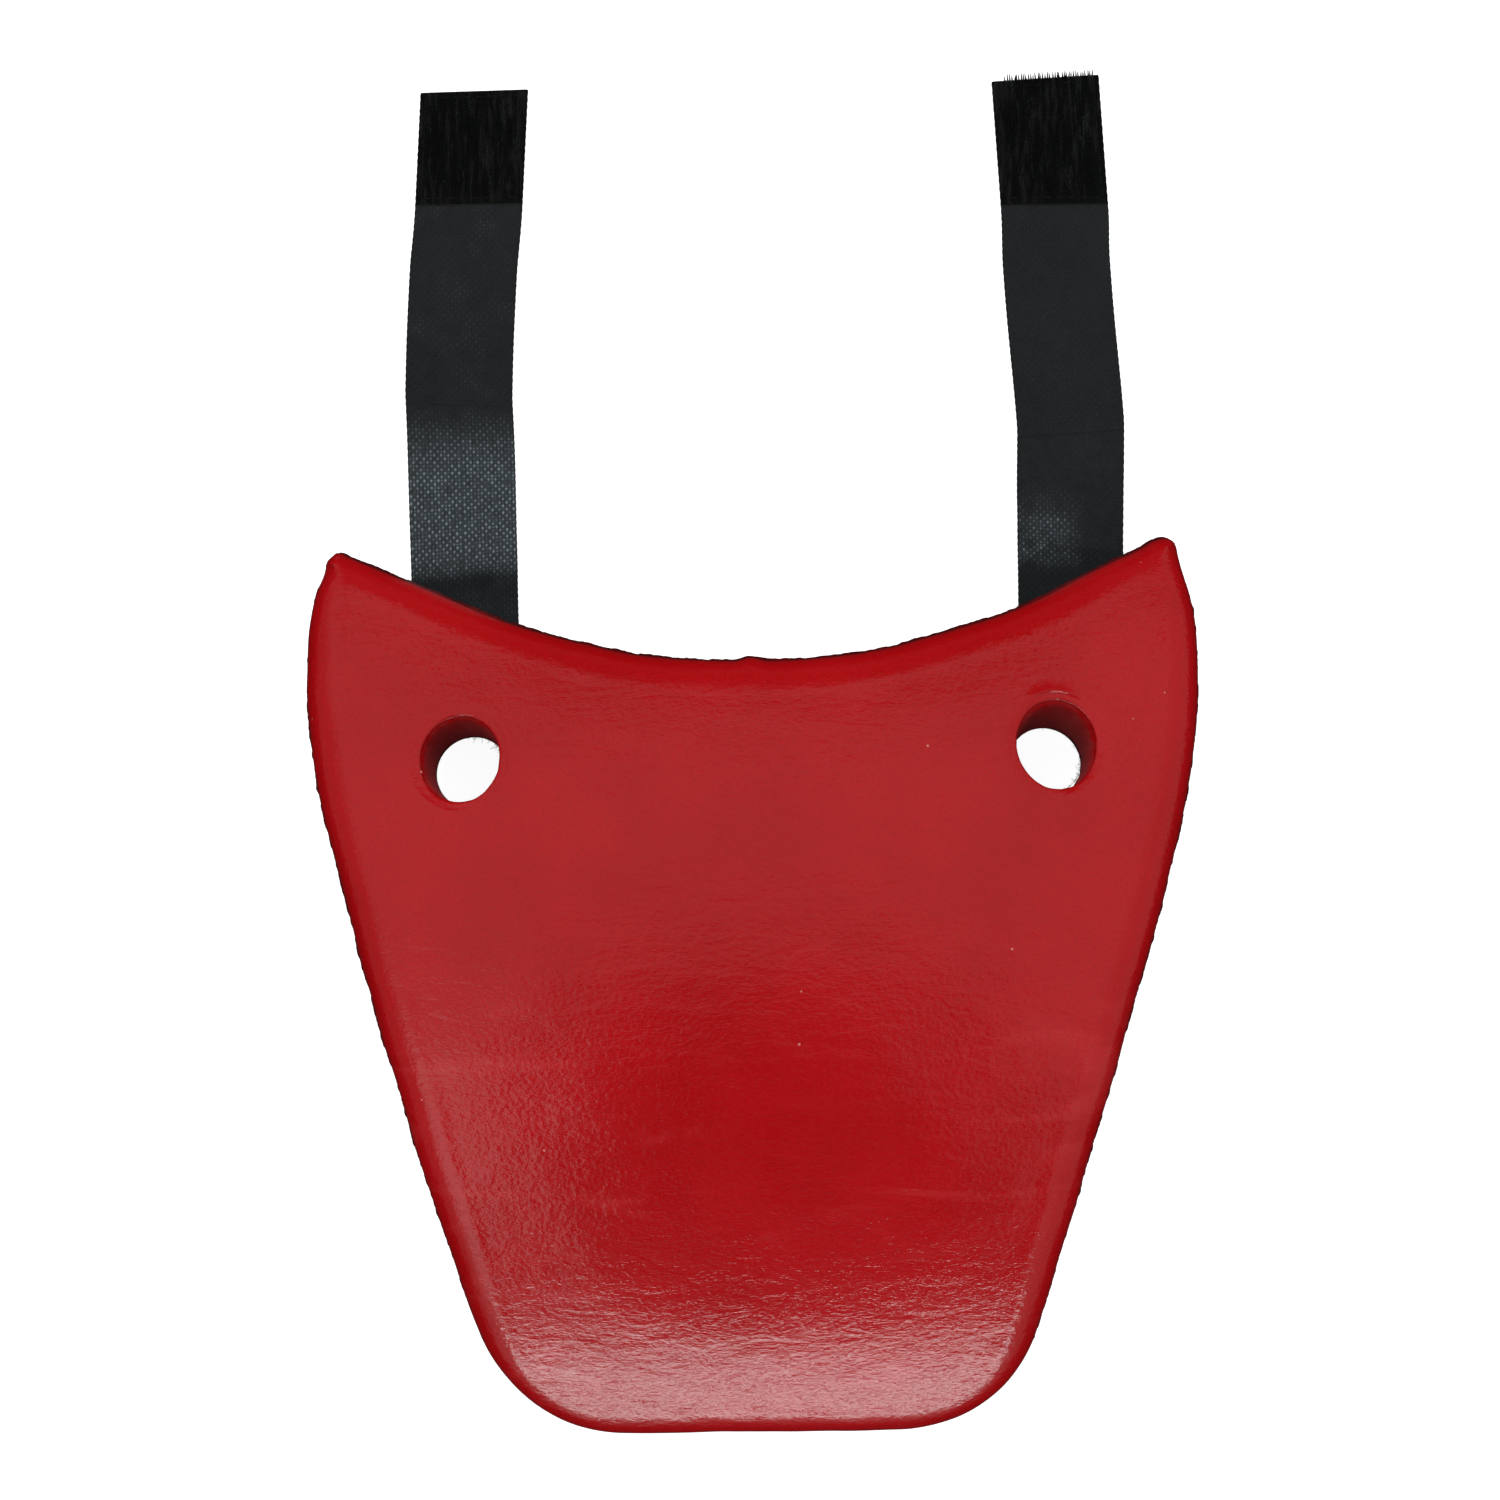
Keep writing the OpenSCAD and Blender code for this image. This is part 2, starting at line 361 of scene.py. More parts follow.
def linked(name, data):
    obj = bpy.data.objects.new(name, data)
    bpy.context.scene.collection.objects.link(obj)
    return obj


def mesh_object(name, verts_mm, faces):
    mesh = bpy.data.meshes.new(name)
    mesh.from_pydata((np.asarray(verts_mm) * MM).tolist(), [], [list(map(int, f)) for f in faces])
    mesh.validate()
    mesh.update()
    mesh.polygons.foreach_set("use_smooth", [True] * len(mesh.polygons))
    return linked(name, mesh)


def point_attribute(obj, name, values):
    made = obj.data.attributes.new(name, "FLOAT", "POINT")
    made.data.foreach_set("value", np.asarray(values, np.float32))


def strips(starts, count):
    """Quads between successive closed rows of points; starts are the rows' first indices."""
    k = np.arange(count)
    after = (k + 1) % count
    return np.vstack([columns(a + k, a + after, b + after, b + k) for a, b in zip(starts, starts[1:])])


def hole_shift(side, u, v, depth):
    """How far a hole's centre has moved at a depth, of 1."""
    along_u, along_v = BACK_SHIFT[side]
    return depth * (along_u * u + along_v * v)


def hole_circle(side, radius, t, count):
    """A circle round a hole's axis, on the surface at t."""
    origin, u, v, n = dome_frame(*HOLES[side], PAD_T)
    centre = origin + hole_shift(side, u, v, 1 - t / PAD_T)
    return onto_dome(around(centre, u, v, radius, angles(count)), n, t)


def triangulated(loops, loose):
    """Triangles over 2D loops (the outline, then the holes) and loose points. Each point keeps its index."""
    points = np.vstack([*loops, loose])
    edges, start = [], 0
    for loop in loops:
        k = np.arange(len(loop))
        edges += columns(start + k, start + (k + 1) % len(loop)).tolist()
        start += len(loop)
    coords, _, faces, origin, _, _ = delaunay_2d_cdt([Vector(p) for p in points], edges, [], 0, 1e-7)
    back = [o[0] for o in origin]
    if len(coords) != len(points):
        raise RuntimeError("two points of the shield's net fell together")
    tri = np.array([[back[i] for i in f] for f in faces if len(f) == 3])
    middle = points[tri].mean(1)
    keep = inside(middle, loops[0])
    for loop in loops[1:]:
        keep &= ~inside(middle, loop)
    tri = tri[keep]
    a, b, c = points[tri].transpose(1, 0, 2)
    turn = np.cross(b - a, c - a)
    tri[turn < 0] = tri[turn < 0][:, ::-1]
    return points, tri


def inner_grid(loop, holes, step, edge, hole_edge, seed):
    """Points in a jittered net inside the loop, clear of its edge and of the holes."""
    low, high = loop.min(0), loop.max(0)
    xs = np.arange(low[0], high[0], step)
    ys = np.arange(low[1], high[1], step * 0.866)
    gx, gy = np.meshgrid(xs, ys)
    gx = gx + (np.arange(len(ys)) % 2)[:, None] * step / 2
    p = columns(gx.ravel(), gy.ravel())
    p = p + (np.random.default_rng(seed).random(p.shape) - 0.5) * step * 0.3
    p = p[inside(p, loop)]
    p = p[loop_distance(p, loop)[0] > edge]
    for hole in holes:
        p = p[from_middle(p, hole) > hole_edge]
    return p


def edge_rings(loop, offsets, thin_from):
    """Points at set distances in from the loop, leaving out those that a narrow horn brings too near."""
    n = outward(loop)
    rings = []
    for d in offsets:
        k = np.arange(0, len(loop), 1 if d < thin_from else 2)
        q = loop[k] - n[k] * d
        q = q[inside(q, loop)]
        rings.append(q[loop_distance(q, loop)[0] > 0.985 * d])
    return np.vstack(rings)


def layer_solid(name, inset, low_t, high_t, fillet, step, seed=3, edge_noise=0.0, wider=0.0):
    """A closed layer of the shield between two heights, drawn in from its edge, with both holes."""
    full = outline_loop(step * 0.6)
    length = np.arange(len(full)) * step
    push = edge_noise * layered_noise(columns(length, 0.0), 3.0, seed)
    loop = full - outward(full) * (inset - push)[:, None]
    loop = loop[loop_distance(loop, full)[0] > inset * 0.9 - edge_noise]
    count, radius = 72, HOLE_R + inset + wider
    rims = [[hole_circle(side, radius, t, count)[:, :2] for t in (high_t, low_t)] for side in HOLES]
    hole_loops = [rim[0] for rim in rims]
    offsets = [d for d in (0.4, 1.2, 2.4, 4.0, 6.0, 8.5) if d < fillet * 0.8] or [step * 0.6]
    rings = edge_rings(loop, offsets, 3)
    grid = inner_grid(loop, hole_loops, step, offsets[-1] + step * 0.6, radius + step * 0.7, seed)
    points, tri = triangulated([loop, *hole_loops], np.vstack([rings, grid]))
    d, way = loop_distance(points, loop)
    top = edged_z(points, d, way, high_t, fillet)[0] if fillet else dome_z(points, high_t)
    below = points.copy()
    total, start = len(points), len(loop)
    faces = [*tri.tolist(), *(tri[:, ::-1] + total).tolist(), *strips([total, 0], start).tolist()]
    for rim in rims:
        below[start : start + count] = rim[1]
        faces += strips([start, total + start], count).tolist()
        start += count
    verts = np.vstack([columns(*points.T, top), columns(*below.T, dome_z(below, low_t))])
    return mesh_object(name, verts, faces)


# ---- the vinyl skin ----


def front_relief(p, d, reach):
    """The small unevenness of the dipped front, in mm."""
    z = 0.22 * layered_noise(p, 46, 11, 2)
    z += 0.05 * layered_noise(p * [0.35, 1.0], 9, 23, 3)
    z += 0.028 * layered_noise(p, 3.4, 31, 2)
    z *= ramp(0, 10, d)
    ridge = np.exp(-(((d - reach - 1.2) / 1.7) ** 2))
    z += 0.16 * ridge * (1 + 0.7 * layered_noise(p, 18, 41, 2))
    return z


def wall_rings(loop, top_z):
    """Rows of points down the shield's side, from just under the front's edge to the lining."""
    n = outward(loop)
    bottom_z = dome_z(loop, LINING_T) + 0.15
    length = np.arange(len(loop)) * EDGE_STEP
    rows, ragged = [], []
    for f in (0.035, 0.08, 0.14, 0.22, 0.32, 0.44, 0.57, 0.70, 0.82, 0.92, 1.0):
        z = top_z + (bottom_z - top_z) * f
        where = columns(length, z)
        rough = 0.30 * layered_noise(where, 2.3, 61, 2) + 0.16 * layered_noise(where * [1, 0.5], 6.5, 67, 2)
        belly = 0.55 * math.sin(math.pi * min(f * 1.25, 1.0)) + 0.25 * f
        push = belly + rough * ramp(0.0, 0.14, f)
        rows.append(columns(*(loop + n * push[:, None]).T, z))
        ragged.append(np.full(len(loop), float(ramp(0.0, 0.3, f))))
    return rows, ragged


def bore_rings(side, outer, count):
    """Rows of points from outer, on the front, round a hole's rim and down its wall."""
    origin, u, v, n = dome_frame(*HOLES[side], PAD_T)
    a = angles(count)
    c, s = np.cos(a), np.sin(a)
    seed = 71 if side == "left" else 83
    circle = columns(c, s) * 6
    wobble = 0.22 * layered_noise(circle, 3.1, seed, 3)
    ragged = layered_noise(circle * 1.6, 1.3, seed + 2, 3)
    wide, tall = RIM[side]
    rim = wide * tall / np.sqrt((tall * c) ** 2 + (wide * s) ** 2)
    rows, depth = [], []

    def row(radius, drop, deep):
        flat = around(origin + hole_shift(side, u, v, deep), u, v, radius, a)
        rows.append(onto_dome(flat, n, PAD_T) - np.outer(drop + 0 * a, n))
        depth.append(np.full(count, deep))

    lip = rim + LIP_R
    burr = np.exp(-(((a - math.pi / 2) / 0.45) ** 4)) if side == "right" else 0.10 + 0 * a
    burr = burr * np.clip(1 + 0.25 * ragged, 0.3, 1.3)
    height = BURR_SLOPE * (outer - lip) * (BURR_FOOT - BURR_CREST)
    for f in (0.15, 0.3, 0.44, BURR_CREST, 0.58, 0.63, BURR_FOOT, 0.76, 0.84, 0.93):
        sink = FUNNEL * (f ** 2.2) * (1 + 1.2 * ragged * f * (1 - f))
        bead = min(f / BURR_CREST, max((BURR_FOOT - f) / (BURR_FOOT - BURR_CREST), 0))
        row(outer * (1 - f) + lip * f, sink - height * burr * bead, 0.0)
    for k in range(7):
        turn = (k + 0.3) / 6.6 * math.pi / 2
        radius = rim + LIP_R * (1 - math.sin(turn)) + wobble * math.sin(turn)
        row(radius, FUNNEL + LIP_R * (1 - math.cos(turn)), 0.05 * k / 6)
    first = FUNNEL + LIP_R
    for f in (0.05, 0.14, 0.26, 0.40, 0.54, 0.68, 0.80, 0.90, 0.97, 1.0):
        deep = first + (PAD_T - LINING_T - 0.1 - first) * f
        rough = 0.16 * layered_noise(columns(a * HOLE_R, deep) * [1, 0.45], 3.2, seed + 5, 3)
        radius = rim * (1 - f) + HOLE_R * f + wobble * (1 - 0.5 * f)
        row(radius + rough, deep, 0.06 + 0.94 * f)
    return rows, depth


def front_net(loop, hole_loops):
    """The front's points and triangles, and for each point its distance in and its height."""
    rings = edge_rings(loop, FRONT_RINGS, 2.4)
    for hole in hole_loops:
        rings = rings[from_middle(rings, hole) > HOLE_EDGE + 0.5]
    grid = inner_grid(loop, hole_loops, GRID, 14.2, HOLE_EDGE + GRID * 0.6, 3)
    points, tri = triangulated([loop, *hole_loops], np.vstack([rings, grid]))
    d, way = loop_distance(points, loop)
    z, reach = edged_z(points, d, way, PAD_T, FILLET_R)
    relief = front_relief(points, d, reach)
    for hole in hole_loops:
        relief = relief * ramp(HOLE_EDGE, HOLE_EDGE + 9, from_middle(points, hole))
    return points, tri, d, z + relief


def vinyl_skin():
    """The coat over the front, the side and the walls of both holes."""
    loop = outline_loop(EDGE_STEP)
    count = 132
    hole_loops = [hole_circle(side, HOLE_EDGE, PAD_T, count)[:, :2] for side in HOLES]
    points, tri, d, z = front_net(loop, hole_loops)
    verts, faces = [columns(*points.T, z)], tri.tolist()
    edge, bore = [1 - ramp(0.0, 1.5, d)], [np.zeros(len(points))]
    total = len(points)

    def add_rows(first, rows, edges, bores):
        nonlocal total
        starts = [first]
        for row in rows:
            starts.append(total)
            total += len(row)
        verts.extend(rows)
        edge.extend(edges)
        bore.extend(bores)
        return starts

    rows, ragged = wall_rings(loop, z[: len(loop)])
    starts = add_rows(0, rows, [1 + r for r in ragged], [0 * r for r in ragged])
    faces += strips(starts[::-1], len(loop)).tolist()
    first = len(loop)
    for side in HOLES:
        rows, depth = bore_rings(side, HOLE_EDGE, count)
        faces += strips(add_rows(first, rows, [0 * r for r in depth], depth), count).tolist()
        first += count
    skin = mesh_object("vinyl_coat", np.vstack(verts), faces)
    deep = np.concatenate(bore)
    # edge: 0 on the front, rising to 1 at the outline and above 1 down the side wall; the material paints
    # shade with it
    point_attribute(skin, "edge", np.concatenate(edge))
    point_attribute(skin, "bore", deep)
    skin.data.polygons.foreach_set("material_index", [int(deep[f].mean() > WALL_FROM) for f in faces])
    thick = skin.modifiers.new("thick", "SOLIDIFY")
    thick.thickness = 0.9 * MM
    thick.offset = -1
    apply_modifiers(skin)
    return skin


def apply_modifiers(obj):
    deps = bpy.context.evaluated_depsgraph_get()
    mesh = bpy.data.meshes.new_from_object(obj.evaluated_get(deps))
    obj.modifiers.clear()
    obj.data = mesh


# ---- straps ----


def strap_frames(side):
    """The fold's and the bend's origin and axes: across the strap, along it and out of its face."""
    sign = -1 if side == "left" else 1
    x, t = STRAP_X[side], -STRAP_T / 2
    fold_up = DIP_UP + DIP_R - math.sqrt(DIP_R**2 - (x + STRAP_W / 2) ** 2) + EDGE_GAP
    origin, u, v, n = dome_frame(x, fold_up, t)
    pitch, bank = dome_angles(x, fold_up, t)
    rise = math.tan(-LEAN_OUT) * math.cos(pitch) - math.sin(pitch) * math.sin(bank)
    turn = math.atan(rise / math.cos(bank))
    fold = [origin, math.cos(turn) * u + math.sin(turn) * v, math.cos(turn) * v - math.sin(turn) * u, n]
    bend_x = x + (BEND_UP[side] - fold_up) * math.tan(LEAN_OUT)
    c, s = math.cos(LEAN_IN), math.sin(LEAN_IN)
    bend = np.array([[bend_x, BEND_UP[side] - FRAME_UP, STRAP_T / 2], [c, s, 0], [-s, c, 0], [0, 0, 1.0]])
    both = [[a * [sign, 1, 1] for a in f] for f in (fold, bend)]
    for f in both:
        f[1] = f[1] * sign
    return *both, (TIP_UP - BEND_UP[side] - STRAP_W / 2 * s) / c


def smoothed(values, at, places, reach):
    """Rounds a path's corners: near each place, the mean over reach on both sides."""
    out = values.copy()
    for place in places:
        for i in np.where(abs(at - place) < 2 * reach)[0]:
            width = reach * (1 - abs(at[i] - place) / (2 * reach))
            near = abs(at - at[i]) <= max(width, 1e-6)
            out[i] = values[near].mean(0)
    return out


class StrapPath:
    """A strap's middle line, from its sewn end on the lining to its far tip."""

    def __init__(self, side):
        self.fold, self.bend, self.upper = strap_frames(side)
        self.side = side
        gap = self.bend[0] - self.fold[0]
        self.lower = float(norm(gap))
        self.tip = self.lower + self.upper
        self.tape = self.tip - PATCH_LEN
        s = self.s = np.arange(-TAIL_LEN, self.tip + 8, 0.25)
        o, u, v, n = self.fold
        tail = onto_dome(o + np.outer(np.minimum(s, 0), v), n, -STRAP_T / 2)
        tail[s > 0] = o
        f = np.clip(s / self.lower, 0, 1)[:, None]
        middle = tail + f * gap + np.outer(np.maximum(s - self.lower, 0), self.bend[2])
        across = unit_rows(u + (self.bend[1] - u) * ramp(0, 1, f))
        places = [0.0, self.lower]
        self.middle = smoothed(middle, s, places, 3.0)
        self.across = smoothed(across, s, places, 3.0)
        along = unit_rows(np.gradient(self.middle, s, axis=0))
        self.out = unit_rows(np.cross(self.across, along))

    def skewed(self, s, w):
        """Distances along, moved where the tape's ends lie askew or past the CAD's."""
        t = np.clip((s - self.tape) / PATCH_LEN, 0, 1)
        (low, low_slant), (high, high_slant) = END_CUTS[self.side]
        moved = (1 - t) * (low + low_slant * w) + t * (high + high_slant * w)
        return s + moved * ramp(self.tape - 25, self.tape, s)

    def place(self, s, w, h):
        """Points at distances s along, w across and h out of the strap's middle plane, all of one length."""
        s = self.skewed(s, w)
        middle, across, out = (
            columns(*(np.interp(s, self.s, line) for line in lines.T))
            for lines in (self.middle, self.across, self.out)
        )
        return middle + across * w[:, None] + out * h[:, None]


def weave_height(s, w, seed):
    """Plain weave: warp and weft yarns pass over and under each other."""
    i = w / WARP_PITCH
    j = s / WEFT_PITCH
    sign = np.where((np.floor(i) + np.floor(j)) % 2 == 0, 1.0, -1.0)
    across, along = np.abs(np.sin(math.pi * i)), np.abs(np.sin(math.pi * j))
    warp = across**0.8 * (0.55 + 0.45 * sign * along)
    weft = along**0.8 * (0.35 - 0.35 * sign * across)
    uneven = 1 + 0.25 * lattice_noise(columns(np.floor(i) * 3.1, np.floor(j) * 2.3), 1.7, seed)
    return np.maximum(warp, weft) * uneven


def strap_net(start, end, rows, across):
    """Distances along and across a strap, for a net of points from start to end."""
    s = np.linspace(start, end, rows + 1)
    w = np.linspace(-STRAP_W / 2, STRAP_W / 2, across + 1)
    gs, gw = np.meshgrid(s, w, indexing="ij")
    return gs.ravel(), gw.ravel()


def two_faced(name, front, back, rows, across):
    """A closed mesh between two nets of points."""
    total = len(front)
    net = np.arange(total).reshape(rows + 1, across + 1)
    quads = columns(*(q.ravel() for q in (net[:-1, :-1], net[:-1, 1:], net[1:, 1:], net[1:, :-1])))
    ring = np.concatenate([net[0, :], net[1:, -1], net[-1, -2::-1], net[-2:0:-1, 0]])
    after = np.roll(ring, -1)
    faces = np.vstack([quads, quads[:, ::-1] + total, columns(ring, ring + total, after + total, after)])
    return mesh_object(name, np.vstack([front, back]), faces)


def glint_zone(path, s, w, seed):
    """Where the material paints glints on a strap's front, from 0 to 1."""
    patchy = layered_noise(columns(w, s), 9, seed, 3)
    if path.side == "left":
        return ramp(-6, 6, s) * ramp(path.lower - 2, path.lower - 30, s) + 0.08 * patchy
    return 0.45 * ramp(-14, -6, s) * ramp(24, 6, s) * ramp(6, -8, w) * (1 + patchy)


def webbing(name, path, start, end, seed):
    """A length of webbing with its yarns in relief on both faces."""
    across = int(round(STRAP_W / (WARP_PITCH / 4)))
    rows = int(round((end - start) / (WEFT_PITCH / 4)))
    gs, gw = strap_net(start, end, rows, across)
    picks = 0.06 * np.sin(2 * math.pi * gs / (2 * WEFT_PITCH)) * ramp(16.5, 19, abs(gw))
    bow = 0.9 * lattice_noise(columns(gs, 0.0), 60, seed + 3)
    flat = ramp(8, 30, gs) * ramp(0, 25, path.tape - gs)
    moved = gw + np.sign(gw) * (picks + WEB_WIDER) + (bow + ASIDE[path.side]) * flat
    edge = np.sqrt(np.clip(1 - ((abs(gw) - 18.2) / 0.8).clip(0, 1) ** 2, 0.02, 1))
    body = (STRAP_T / 2 - YARN_RELIEF * 0.75) * edge
    yarn = weave_height(gs, gw, seed)
    front = body + YARN_RELIEF * yarn * edge
    back = -body - YARN_RELIEF * 0.8 * weave_height(gs + WEFT_PITCH, gw, seed + 1) * edge
    web = two_faced(name, path.place(gs, moved, front), path.place(gs, moved, back), rows, across)
    ends = np.tile((gs == gs[0]) | (gs == gs[-1]), 2)
    web.data.polygons.foreach_set("use_smooth", [not ends[list(p.vertices)].all() for p in web.data.polygons])
    point_attribute(web, "yarn", np.concatenate([yarn, 0.6 * yarn]))
    # glint zone: where the material paints glints on the yarn tops
    rub_and_glint = np.clip(glint_zone(path, gs, gw, seed + 11), 0, 1)
    point_attribute(web, "rub_and_glint", np.concatenate([rub_and_glint, 0 * rub_and_glint]))
    return web


def tube(points, radius, sides=5):
    """Vertices and faces of a thin tube. radius is one number or one for each point."""
    p = np.asarray(points, float)
    r = np.broadcast_to(radius, (len(p),))[:, None, None]
    along = unit_rows(np.gradient(p, axis=0) + 1e-12)
    guess = np.array([0.31, 0.17, 0.94])
    if abs(along.mean(0) @ guess) > 0.9:
        guess = np.array([0.94, 0.17, 0.31])
    u = unit_rows(np.cross(along, guess))
    v = np.cross(along, u)
    a = angles(sides)[None, :, None]
    verts = (p[:, None] + r * (np.cos(a) * u[:, None] + np.sin(a) * v[:, None])).reshape(-1, 3)
    faces = strips([k * sides for k in range(len(p))], sides).tolist()
    last = len(p) * sides
    return verts, [*faces, list(range(sides)), list(range(last - 1, last - sides - 1, -1))]


def tubes_object(name, parts):
    """One object from many (vertices, faces) parts."""
    verts, faces, total = [], [], 0
    for v, f in parts:
        verts.append(v)
        faces += [[i + total for i in face] for face in f]
        total += len(v)
    return mesh_object(name, np.vstack(verts), faces)


# ---- hook tape ----


def tape_ground(name, path, seed):
    """The woven ground of the hook tape, on the front of the strap's end."""
    fine = 0.36
    rows, across = int(PATCH_LEN / fine), int(STRAP_W / fine)
    gs, gw = strap_net(path.tape, path.tip, rows, across)
    ribs = np.abs(np.sin(math.pi * gs / 1.1)) * (0.6 + 0.4 * np.abs(np.sin(math.pi * gw / 0.72)))
    uneven = 0.5 * layered_noise(columns(gw, gs), 1.4, seed, 2)
    thick = GROUND_T * 0.68 + 0.26 * ribs + 0.08 * uneven
    thick = thick * (0.45 + 0.55 * ramp(0, 0.9, STRAP_W / 2 - abs(gw)))
    moved = gw * (1 + 0.004 * np.sin(gs * 2.8))
    low = STRAP_T / 2 + 0 * gs
    return two_faced(name, path.place(gs, moved, low + thick), path.place(gs, moved, low), rows, across)


def one_hook(path, s, w, lean, twist, height):
    """A single hook: a bristle that stands up and curls over."""
    t = np.linspace(0, 1, 8)
    bend = np.clip((t - 0.45) / 0.55, 0, 1) * 2.9
    up = np.where(t < 0.45, t / 0.45 * 0.62, 0.62 + 0.30 * np.sin(bend)) * height
    side = np.where(t < 0.45, 0, 0.28 * (1 - np.cos(bend))) * height * 1.15
    s = s + side * math.cos(twist) + lean[0] * up
    w = w + side * math.sin(twist) + lean[1] * up
    return tube(path.place(s, w, STRAP_T / 2 + GROUND_T * 0.75 + up), 0.105, 4)


def bristle(path, w, aside, length):
    """A cut hook that stands out past the tape's end."""
    t = np.linspace(0, 1, 5)
    h = STRAP_T / 2 + GROUND_T * (0.6 + 0.5 * t)
    points = path.place(path.tip - 0.5 + t * (length + 0.5), w + aside * t, h)
    return tube(points, 0.38 - 0.26 * t, 5)


def hooks(name, path, seed, past_end):
    """The field of hooks, in rows, with the few that stand out past the cut end."""
    rng = np.random.default_rng(seed)
    parts = []
    half, margin = STRAP_W / 2, 3.2
    across = np.arange(-half + margin, half - margin + 0.01, HOOK_ACROSS)
    rows = np.arange(path.tape + margin + 0.4, path.tip - (0.5 if past_end else margin), HOOK_ALONG)
    for s in rows:
        for i, w in enumerate(across):
            twist = (0 if (i // 2) % 2 else math.pi) + rng.normal(0, 0.35)
            lean = rng.normal(0, 0.12, 2)
            at_s = s + rng.normal(0, 0.12) + (0.4 if i % 2 else 0)
            at_w = w + rng.normal(0, 0.08)
            parts.append(one_hook(path, at_s, at_w, lean, twist, HOOK_T * rng.uniform(0.9, 1.08)))
    if past_end:
        for w in np.arange(-half + 4.5, half - 1.5, 0.85):
            at_w, aside = w + rng.normal(0, 0.12), rng.normal(0, 0.2)
            parts.append(bristle(path, at_w, aside, rng.uniform(1.5, 2.3)))
    return tubes_object(name, parts)


# ---- sewing ----


def seam_marks(wide, long, cross):
    """Middle and direction of each stitch of a sewn box, with a cross in it or not."""
    corners = np.array([[-wide / 2, 0], [wide / 2, 0], [wide / 2, long], [-wide / 2, long]])
    lines = list(zip(corners, np.roll(corners, -1, axis=0)))
    if cross:
        clear = STITCH_LEN / math.hypot(wide, long)
        for a, b in ((corners[0], corners[2]), (corners[1], corners[3])):
            lines.append((a + (b - a) * clear, b - (b - a) * clear))
    marks = []
    for a, b in lines:
        pairs = int(norm(b - a) / STITCH_PITCH / 2)
        for i in range(2 * pairs):
            marks.append((a + (b - a) * (i + 0.5) / (2 * pairs), (b - a) / norm(b - a)))
    return marks


def stitches(name, path, origin_s, marks, height, out):
    """Each stitch is a short arch of thread that dips into the web at both ends."""
    rng = np.random.default_rng(len(name))
    parts = []
    for middle, way in marks:
        way = way + rng.normal(0, 0.03, 2)
        t = np.linspace(-1, 1, 9)
        flat = middle + np.outer(t * STITCH_LEN / 2 * 1.08, way)
        lift = height + out * (0.30 * (1 - abs(t) ** 3) - 0.26)
        twist = 1 + 0.12 * np.sin(t * 9)
        points = path.place(origin_s + flat[:, 1], flat[:, 0], lift)
        parts.append(tube(points, 0.30 * twist * np.clip(1.25 - abs(t) ** 4, 0.3, 1), 6))
    return tubes_object(name, parts)


# ---- loose fibres ----


def outline_fibre(p, way, rng):
    """A cut thread of the lining that stands out from the shield's outline."""
    z = dome_z(p[None], rng.uniform(0.2, LINING_T))[0]
    reach = abs(rng.normal(0, 0.55)) + 0.25
    aside = np.array([-way[1], way[0]]) * rng.normal(0, 0.5)
    t = np.linspace(0, 1, 5)
    flat = p + np.outer(t * reach - 0.5, way) + np.outer(t * t * reach, aside)
    lift = z + t * t * rng.uniform(-0.1, 0.5) * reach
    return tube(columns(*flat.T, lift), 0.07 * (1.2 - 0.6 * t), 3)


def hole_fibre(hole, heavy_at, rng):
    """A cut thread of the lining in a hole's back end. hole is its frame; most are long near heavy_at."""
    origin, u, v, n = hole
    a = rng.uniform(0, 2 * math.pi)
    reach = (abs(rng.normal(0, 0.9)) + 0.3) * (0.9 + 0.55 * math.cos(a - heavy_at))
    drop = PAD_T - rng.uniform(0.2, LINING_T + 0.8)
    t = np.linspace(0, 1, 6)
    swing = a + t * t * rng.normal(0, 0.10)
    rise = t * t * rng.normal(0, 0.6) * reach
    flat = around(origin, u, v, HOLE_R + 0.6 - t * reach, swing)
    return tube(flat - np.outer(drop - rise, n), 0.075 * (1.2 - 0.6 * t), 3)


def edge_fibres(name, seed):
    """Cut threads of the lining that stand out round its outline and in both holes."""
    rng = np.random.default_rng(seed)
    loop = outline_loop(1.0)
    n = outward(loop)
    parts = [outline_fibre(loop[k], n[k], rng) for k in rng.choice(len(loop), 420, replace=False)]
    for side in HOLES:
        hole = dome_frame(*HOLES[side], PAD_T)
        parts += [hole_fibre(hole, FIBRES_AT[side], rng) for _ in range(210)]
    return tubes_object(name, parts)


# ---- materials ----


